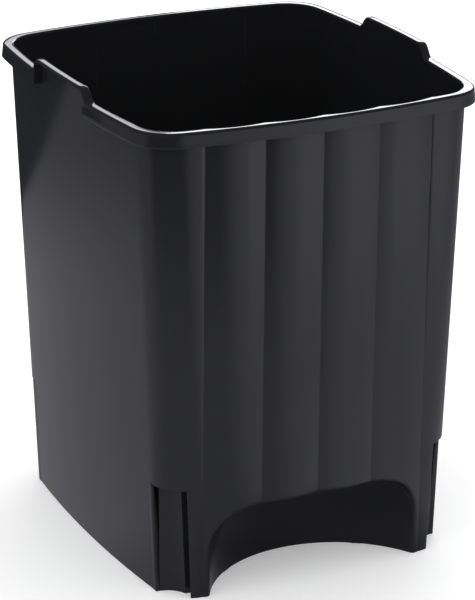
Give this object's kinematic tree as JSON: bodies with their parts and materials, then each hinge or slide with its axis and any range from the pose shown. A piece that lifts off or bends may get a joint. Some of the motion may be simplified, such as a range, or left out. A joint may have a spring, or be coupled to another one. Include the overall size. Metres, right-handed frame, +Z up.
{
  "type": "compactor bin inner bucket",
  "caption": "Open plastic inner bucket of a household waste compactor, tapered, with a fluted front, raised finger grips, corner recesses and an arched foot recess",
  "frame": {"origin": "middle of the footprint, at the level that the bucket stands on", "axes": "+Z up, the fluted front faces -Y, +X to the right of someone facing the front from outside"},
  "size_m": [0.28, 0.3032, 0.3655],
  "materials": {
    "bucket_plastic": "semi-gloss black moulded polypropylene",
    "rim_plastic": "polished black moulded polypropylene on the rim and grips"
  },
  "bodies": {
    "root": {"arched_recess_wall": "bucket_plastic", "back_rim": "rim_plastic", "back_wall": "bucket_plastic", "bucket_floor": "bucket_plastic", "fluted_front_wall": "bucket_plastic", "front_left_corner": "bucket_plastic", "front_left_rim_corner": "rim_plastic", "front_right_corner": "bucket_plastic", "front_right_rim_corner": "rim_plastic", "front_rim": "rim_plastic", "left_grip": "rim_plastic", "left_rim": "rim_plastic", "left_side_wall": "bucket_plastic", "rear_left_corner": "bucket_plastic", "rear_left_rim_corner": "rim_plastic", "rear_right_corner": "bucket_plastic", "rear_right_rim_corner": "rim_plastic", "right_grip": "rim_plastic", "right_rim": "rim_plastic", "right_side_wall": "bucket_plastic"}
  },
  "joints": []
}
